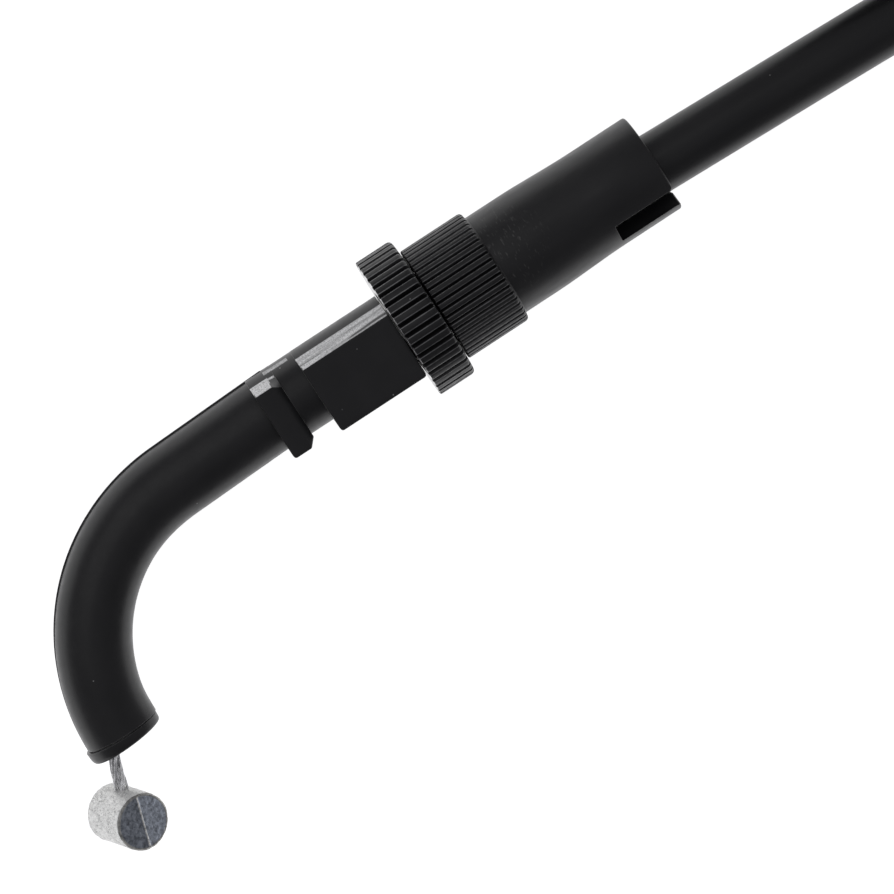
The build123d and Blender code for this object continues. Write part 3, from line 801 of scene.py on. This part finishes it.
def thread(x0, x1, radius, bore, count=48, per_pitch=8, centre=(0.0, 0.0)):
    """Right-handed thread between x0 and x1 as one shell with a bore through it."""
    rings = [circle(x0, bore, count, centre)]
    steps = round((x1 - x0) / PITCH * per_pitch)
    for k in range(steps + 1):
        x = x0 + (x1 - x0) * k / steps

        def surface(a, x=x):
            phase = (x / PITCH - a / TAU) % 1.0
            height = min(1.0, max(0.0, 2.6 * abs(phase - 0.5) * 2 - 0.6) / 1.6)
            taper = min(x - x0, x1 - x)
            return min(radius - THREAD_DEEP * (1 - height), radius - THREAD_DEEP + taper + 0.02)

        rings.append(circle(x, surface, count, centre))
    rings.append(circle(x1, bore, count, centre))
    return skin(rings, True)


GROOVE, STRIP = 0.2, 0.07  # half a groove and a worn strip, as shares of the ridges' spacing


def ridge_angles(ridges):
    """Angles of a ridged ring: each groove's bottom and edge, a worn strip and a ridge's middle."""
    offsets = (0.0, GROOVE, GROOVE + STRIP, 0.5, 1 - GROOVE - STRIP, 1 - GROOVE)
    return [(k + offset) * TAU / ridges for k in range(ridges) for offset in offsets]


def ridged_ring(x, ridges, radius, depth=0.0, most=99.0):
    """Ring of a ridged rim at x, never wider than most; without depth it is round."""
    ring = []
    for i, a in enumerate(ridge_angles(ridges)):
        r = min(most, radius - (depth, 0.03, 0.0, 0.0, 0.0, 0.03)[i % 6] * (depth > 0))
        ring.append(Vector((x, r * math.cos(a), r * math.sin(a))))
    return ring


def ridge_pick(ridges, radius, flat=0, worn=1):
    """Material numbers of a ridged rim: worn along the ridges' edges, flat elsewhere."""

    def pick(normal, centre):
        phase = math.atan2(centre.z, centre.y) * ridges / TAU % 1.0
        off = min(phase, 1 - phase)
        return worn if GROOVE < off < GROOVE + STRIP and centre.yz.length > radius - 0.12 else flat

    return pick


def make_lock_nut():
    n, r, deep = NUT_RIDGES, NUT_R, NUT_GROOVE_DEEP
    rings = [ridged_ring(NUT_X0 + 0.3, n, BORE_R), ridged_ring(NUT_X0, n, BORE_R + 0.3)]
    rings += [ridged_ring(NUT_X0, n, r, deep, r - 0.16), ridged_ring(NUT_X0 + 0.05, n, r, deep, r - 0.05)]
    rings += [ridged_ring(NUT_X0 + 0.14, n, r, deep), ridged_ring(NUT_X1 - 0.5, n, r, deep)]
    for x, drop in ((0.3, 0.04), (0.13, 0.15), (0.03, 0.32), (0.0, 0.55)):
        rings += [ridged_ring(NUT_X1 - x, n, r, deep, r - drop)]
    rings += [ridged_ring(NUT_X1, n, BORE_R + 0.3), ridged_ring(NUT_X1 - 0.3, n, BORE_R)]
    along_rim = ridge_pick(n, r)

    def pick(normal, centre):
        if normal.x < -0.8 and centre.yz.length > 4.4:
            return 2
        return along_rim(normal, centre)

    piece("lock_nut_body", skin(rings, True), "lock_nut", ["ridge", "worn", "bright_face"],
          ["lock_nut"], 40, pick)


def slot_cutter():
    """Block that cuts the slot into the sleeve's mouth, flared so that the mouth's corners are round."""
    a = math.radians(SLOT_ANGLE)
    out = Vector((0, math.cos(a), math.sin(a)))
    side = Vector((1, 0, 0)).cross(out)
    half, soft, flare = SLOT_WIDE / 2, 0.12, 0.55
    x0, x1 = SLEEVE_X1 - SLOT_LONG, SLEEVE_X1
    edge = [(x0, half - soft), (x0 + soft * 0.3, half - soft * 0.3), (x0 + soft, half)]
    for k in range(7):
        b = math.pi / 2 * k / 6
        edge.append((x1 - flare + flare * math.sin(b), half + flare - flare * math.cos(b)))
    edge.append((x1 + 1.0, half + flare))
    outline = [(x, -w) for x, w in reversed(edge)] + edge
    rings = [[Vector((x, 0, 0)) + side * w + out * reach for x, w in outline] for reach in (2.0, 8.0)]
    verts, faces = skin(rings)
    mesh = bpy.data.meshes.new("slot_cutter")
    mesh.from_pydata([v * MM for v in verts], [], faces)
    cutter = bpy.data.objects.new("slot_cutter", mesh)
    bpy.context.scene.collection.objects.link(cutter)
    return cutter


def make_sleeve():
    n, r, deep = GRIP_RIDGES, GRIP_R, GRIP_GROOVE_DEEP
    rings = [ridged_ring(SLEEVE_X0 + 0.3, n, BORE_R), ridged_ring(SLEEVE_X0, n, BORE_R + 0.3)]
    rings += [ridged_ring(SLEEVE_X0, n, r, deep, r - 0.1), ridged_ring(SLEEVE_X0 + 0.1, n, r, deep)]
    rings += [ridged_ring(GRIP_X1 - 0.42, n, r, deep)]
    for x, drop in ((0.25, 0.04), (0.1, 0.13), (0.02, 0.27)):
        rings += [ridged_ring(GRIP_X1 - x, n, r, deep, r - drop)]
    rings += [ridged_ring(GRIP_X1, n, BARREL_R + 0.12), ridged_ring(GRIP_X1 + 0.12, n, BARREL_R)]
    for k in range(9):
        t = k / 8
        x = TAPER_X0 + (TAPER_X1 - TAPER_X0) * t
        rings += [ridged_ring(x, n, BARREL_R + (TAIL_R - BARREL_R) * smoothstep(t, 0, 1))]
    rings += [ridged_ring(SLEEVE_X1 - 0.25, n, TAIL_R)]
    for x, drop in ((0.12, 0.04), (0.03, 0.13), (0.0, 0.25)):
        rings += [ridged_ring(SLEEVE_X1 - x, n, TAIL_R - drop)]
    bores = [(SLEEVE_X1, 3.72), (SLEEVE_X1 - 0.12, SLEEVE_MOUTH_R), (SEAT_X1, SLEEVE_MOUTH_R)]
    bores += [(SEAT_X1, SEAT_R), (WEB_X1, SEAT_R)]
    bores += [(WEB_X1, WEB_HOLE_R), (WEB_X0, WEB_HOLE_R), (WEB_X0, BORE_R)]
    rings += [ridged_ring(x, n, bore) for x, bore in bores]
    along_grip = ridge_pick(n, r, 1, 2)

    def pick(normal, centre):
        return along_grip(normal, centre) if centre.x < GRIP_X1 and centre.yz.length > BARREL_R else 0

    sleeve = piece("sleeve_body", skin(rings, True), "sleeve", ["sleeve", "ridge", "worn"],
                   ["adjuster_sleeve"], 40, pick)
    cutter = slot_cutter()
    cut = sleeve.modifiers.new("slot", "BOOLEAN")
    cut.operation = "DIFFERENCE"
    cut.solver = "EXACT"
    cut.object = cutter
    shaped = bpy.data.meshes.new_from_object(sleeve.evaluated_get(bpy.context.evaluated_depsgraph_get()))
    sleeve.modifiers.clear()
    sleeve.data = shaped
    shaped.set_sharp_from_angle(angle=math.radians(40))
    bpy.data.objects.remove(cutter)


def limited(profile, most):
    """A radius by angle, never over most."""
    return lambda a: min(profile(a), most)


def hex_nut(x0, thick, centre):
    def hexagon(a):
        return HEX_HALF / math.cos((a + math.pi / 6) % (math.pi / 3) - math.pi / 6)

    rings = [circle(x0 + 0.4, BORE_R, 120, centre), circle(x0, BORE_R + 0.4, 120, centre)]
    for drop, most in ((0.0, 5.7), (0.12, 6.0), (0.3, 6.4), (0.55, 6.93)):
        rings.append(circle(x0 + drop, limited(hexagon, most), 120, centre))
    for drop, most in ((0.55, 6.93), (0.3, 6.4), (0.12, 6.0), (0.0, 5.7)):
        rings.append(circle(x0 + thick - drop, limited(hexagon, most), 120, centre))
    rings += [circle(x0 + thick, BORE_R + 0.4, 120, centre), circle(x0 + thick - 0.4, BORE_R, 120, centre)]
    return skin(rings, True)


def washer(x0, thick, centre):
    profile = corner(x0, 6.85, x0 + 0.15, 7.0) + corner(x0 + thick - 0.15, 7.0, x0 + thick, 6.85, 4, False)
    inner = [(x0 + thick, BORE_R + 0.25), (x0 + thick - 0.1, BORE_R + 0.15), (x0 + 0.1, BORE_R + 0.15)]
    return lathe(profile + inner + [(x0, BORE_R + 0.25)], 96, centre)


def make_far_fitting():
    centre = (FAR_Y, FAR_Z)
    shank = thread(BOLT_END_X, BOLT_SHOULDER_X - 1.0, THREAD_R, WIRE_WAY_R, 48, 8, centre)
    profile = [(BOLT_SHOULDER_X - 1.0, WIRE_WAY_R), (BOLT_SHOULDER_X - 1.0, THREAD_R - THREAD_DEEP)]
    profile += [(BOLT_SHOULDER_X, THREAD_R - THREAD_DEEP), (BOLT_SHOULDER_X, CUP_R - 0.3)]
    profile += [(BOLT_SHOULDER_X + 0.3, CUP_R)]
    for k in range(3):
        x = 54.6 + k * 0.9
        profile += [(x, CUP_R), (x + 0.25, CUP_R - 0.16), (x + 0.5, CUP_R)]
    profile += [(CUP_X1 - 0.3, CUP_R), (CUP_X1, CUP_R - 0.25), (CUP_X1, CASING_R)]
    profile += [(CUP_X0, CASING_R), (CUP_X0, WIRE_WAY_R)]
    piece("far_bolt_body", joined(shank, lathe(profile, 96, centre)), "casing", ["plated"],
          ["far_bolt"], 40)
    boot = [(BOOT_X0, CUP_R), (BOOT_X0, 5.4), (57.2, BOOT_R), (62.4, BOOT_R), (63.2, 5.35)]
    for k in range(3):
        x, r = 63.6 + k * 1.5, 5.2 - k * 0.3
        boot += [(x, r - 0.35), (x + 0.4, r), (x + 0.8, r), (x + 1.2, r - 0.4)]
    boot += [(68.7, 4.2), (BOOT_X1, 4.0), (BOOT_X1, CASING_R + 0.05)]
    boot += [(CUP_X1, CASING_R + 0.05), (CUP_X1, CUP_R)]
    piece("far_boot_body", lathe(boot, 96, centre), "casing", ["rubber"], ["far_boot"], 50)
    for name, x0 in (("outer_nut", OUTER_NUT_X), ("inner_nut", INNER_NUT_X)):
        piece(name + "_body", hex_nut(x0, HEX_THICK, centre), name, ["plated"], [name], 30)
    for name, x0 in (("outer_washer", OUTER_WASHER_X), ("inner_washer", INNER_WASHER_X)):
        piece(name + "_body", washer(x0, WASHER_THICK, centre), name, ["plated"], [name], 40)


def make_stud():
    root = [(STUD_ROOT_X, WIRE_WAY_R), (STUD_ROOT_X, STUD_ROOT_R), (BLOCK_X1 + 0.1, STUD_ROOT_R)]
    root += [(BLOCK_X1 + 0.1, WIRE_WAY_R)]
    shells = joined(lathe(root, 64), thread(BLOCK_X1 + 0.05, STUD_END_X, THREAD_R, WIRE_WAY_R))
    piece("stud_body", shells, "elbow", ["plated"], ["threaded_stud"], 60)


make_lock_nut()
make_sleeve()
make_stud()
make_far_fitting()

# ------------------------------------------------------------------ stranded wires and nipples


def strands(length, spread, wire=0.115, lay=15.0, step=0.3):
    """Twelve wires laid round six and one, along +X from 0 to length. spread(x) is how far the
    outer wires stand from the middle."""
    shells = []
    count = math.ceil(length / step)
    layers = [(12, 1.0, 1.0), (6, 0.5, -1.3), (1, 0.0, 0.0)]
    for wires, share, way in layers:
        for single in range(wires):
            start = TAU * single / wires + random.uniform(-0.08, 0.08)
            loose = random.uniform(0.92, 1.1)
            twist = random.uniform(0.9, 1.12) * way
            rings = []
            for k in range(count + 1):
                x = length * k / count
                a = start + TAU * x / lay * twist
                reach = spread(x) * share * loose
                place = Vector((x, math.cos(a) * reach, math.sin(a) * reach))
                rings.append([place + Vector((0, math.cos(TAU * i / 8), math.sin(TAU * i / 8))) * wire
                              for i in range(8)])
            shells.append(skin(rings))
    return joined(*shells)


def rough_barrel(radius, length, line_angle, around=168, along=56, rings=46, rough=0.07):
    """Cast barrel along X from -length/2 to length/2, with a thin raised line across its ends."""
    seed = Vector((random.uniform(0, 50), 3.1, 7.7))

    def shaken(p, outward, amount):
        coarse = noise.noise(p * 0.9 + seed)
        fine = noise.noise(p * 3.1 + seed) * 0.55 + noise.noise(p * 7.0 - seed) * 0.35
        return p + outward * ((coarse * 0.6 + fine) * amount)

    half, soft = length / 2, 0.16
    line = Vector((0, math.cos(line_angle), math.sin(line_angle)))
    loops = []
    for sign in (-1, 1):
        face = []
        for k in range(1, rings + 1):
            r = (radius - soft) * k / rings
            ring = []
            for i in range(around):
                a = TAU * i / around
                p = Vector((sign * half, r * math.cos(a), r * math.sin(a)))
                off = p.y * line.z - p.z * line.y
                raised = 0.075 * math.exp(-((off / 0.085) ** 2))
                p.x += sign * raised
                ring.append(shaken(p, Vector((sign, 0, 0)), rough * 0.8))
            face.append(ring)
        loops.append(face)
    side = []
    for k in range(along + 1):
        x = -half + length * k / along
        drop = soft * (1 - math.sqrt(max(0.0, 1 - max(0.0, 1 - (half - abs(x)) / soft) ** 2)))
        ring = []
        for i in range(around):
            a = TAU * i / around
            out = Vector((0, math.cos(a), math.sin(a)))
            ring.append(shaken(Vector((x, 0, 0)) + out * (radius - drop), out, rough))
        side.append(ring)
    return skin(loops[0] + side + list(reversed(loops[1])))


def nipple_pick(axis, along, line_angle, radius):
    """Material numbers of a cast barrel: its side, the two halves of an end face, the raised line
    between them and the rim."""
    across = axis.cross(along).normalized()
    line = along * math.cos(line_angle) + across * math.sin(line_angle)
    aside = axis.cross(line)

    def pick(normal, centre, middle):
        if abs(normal.dot(axis)) < 0.72:
            return 0
        spot = centre - middle
        off = spot.dot(aside)
        flat = spot - axis * spot.dot(axis)
        if flat.length > radius * 0.9:
            return 4
        return 3 if abs(off) < 0.09 else 2 if off > 0 else 1

    return pick


NIPPLE_LINE = math.radians(7.0)  # of the raised line on its end faces, from the wire's direction
NIPPLE_MATERIALS = ["zinc", "zinc_face", "zinc_half", "zinc_line", "zinc_rim"]


def make_nipple(node, body, radius, length, centre, axis, along):
    """Cast barrel at centre; along is the wire's direction and axis the barrel's."""
    along = (along - axis * along.dot(axis)).normalized()
    barrel = moved(rough_barrel(radius, length, NIPPLE_LINE), pointing(axis, centre, along))
    choose = nipple_pick(axis, along, NIPPLE_LINE, radius)
    piece(node + "_body", barrel, body, NIPPLE_MATERIALS, [node], 60,
          lambda normal, spot: choose(normal, spot, centre))


def make_near_pull():
    start = WIRE_MOUTH - WIRE_DIR * WIRE_INSIDE
    whole = WIRE_INSIDE + NIPPLE_OUT

    def spread(x):
        return 0.5 + 0.17 * smoothstep(x, WIRE_INSIDE + 0.5, whole - 2.4)

    wire = moved(strands(whole - 1.2, spread), pointing(WIRE_DIR, start))
    piece("near_strands", wire, "near_pull", ["strand"], ["near_wire"], None)
    rolled = Vector((0, 0, 1)) * math.cos(NIPPLE_ROLL) + WIRE_SIDE * math.sin(NIPPLE_ROLL)
    axis = rolled * math.cos(NIPPLE_LEAN) + WIRE_DIR * math.sin(NIPPLE_LEAN)
    centre = WIRE_MOUTH + WIRE_DIR * NIPPLE_OUT
    make_nipple("near_nipple", "near_pull", NEAR_BARREL_R, NEAR_BARREL_LONG, centre, axis, WIRE_DIR)


def make_far_pull():
    long = FAR_WIRE_X - FAR_NIPPLE_X
    wire = strands(long, lambda x: 0.5, step=0.6)
    wire = moved(wire, pointing((-1, 0, 0), (FAR_WIRE_X, FAR_Y, FAR_Z)))
    piece("far_strands", wire, "far_pull", ["strand"], ["far_wire"], None)
    centre = Vector((FAR_NIPPLE_X, FAR_Y, FAR_Z))
    make_nipple("far_nipple", "far_pull", FAR_BARREL_R, FAR_BARREL_LONG, centre, Vector((0, 0, 1)),
                Vector((-1, 0, 0)))


make_near_pull()
make_far_pull()

# ------------------------------------------------------------------ cable ties

TIE_ANGLES = (-40.0, 60.0)
TIE_THICK = 0.8
TIE_WIDE = 4.0
TIE_CORNER = 2.8
HEAD_HALF_WIDE, HEAD_HALF_HIGH, HEAD_LIFT = 2.7, 2.2, 1.2


def tie_shell(angle):
    """Strap round the coil's turns at one angle, and the head that holds it."""
    a = math.radians(angle)
    out = Vector((math.cos(a), math.sin(a), 0))
    along = Vector((-math.sin(a), math.cos(a), 0))
    up = Vector((0, 0, 1))
    middle = Vector((COIL_X, COIL_Y, 0)) + out * (COIL_OUTER_R - TURN_STEP / 2)
    z0, z1 = FLOOR_Z, FLOOR_Z + 2 * TURN_STEP + TIE_THICK
    half = TURN_STEP + TIE_THICK / 2
    soft = TIE_CORNER
    spots = []
    for cy, cz, first in ((half - soft, z1 - soft, 0), (soft - half, z1 - soft, 90),
                          (soft - half, z0 + soft, 180), (half - soft, z0 + soft, 270)):
        for k in range(9):
            b = math.radians(first + 90 * k / 8)
            spots.append((cy, cz, b))
    section = [(-1, 0.15), (-0.94, 0.0), (0.94, 0.0), (1, 0.15)]
    section += [(1, 0.65), (0.94, 0.8), (-0.94, 0.8), (-1, 0.65)]
    rings = []
    for cy, cz, b in spots:
        direction = out * math.cos(b) + up * math.sin(b)
        base = middle + out * cy + up * cz
        ring = []
        for w, t in section:
            ring.append(base + direction * (soft - TIE_THICK + t) + along * (w * TIE_WIDE / 2))
        rings.append(ring)
    strap = skin(rings, True)
    head_rings = []
    inner = middle - out * half
    for reach, grow in ((0.4, 0.0), (0.1, 0.2), (-2.6, 0.2), (-2.9, 0.0)):
        ring = []
        for w, h in ((-1, -1), (1, -1), (1, 1), (-1, 1)):
            across = along * (w * (HEAD_HALF_WIDE + grow))
            rise = up * (HEAD_LIFT + FLOOR_Z + TURN_STEP + h * (HEAD_HALF_HIGH + grow))
            ring.append(inner + out * reach + across + rise)
        head_rings.append(ring)
    return joined(strap, skin(head_rings))


def make_ties():
    shell = joined(*[tie_shell(angle) for angle in TIE_ANGLES])
    piece("tie_straps", shell, "casing", ["tie"], ["coil_ties"], 30)


make_ties()

# ------------------------------------------------------------------ pieces that keep the CAD's shape

for node, material in (
    ("guide_tube", "steel"),
    ("elbow_wire", "strand"),
    ("near_ferrule", "plated"),
    ("casing_end_sheath", "sheath"),
    ("casing_end_winding", "steel"),
    ("casing_end_liner", "liner"),
    ("casing_wire", "strand"),
):
    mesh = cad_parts[node].data
    mesh.materials.clear()
    mesh.materials.append(MATERIALS[material])
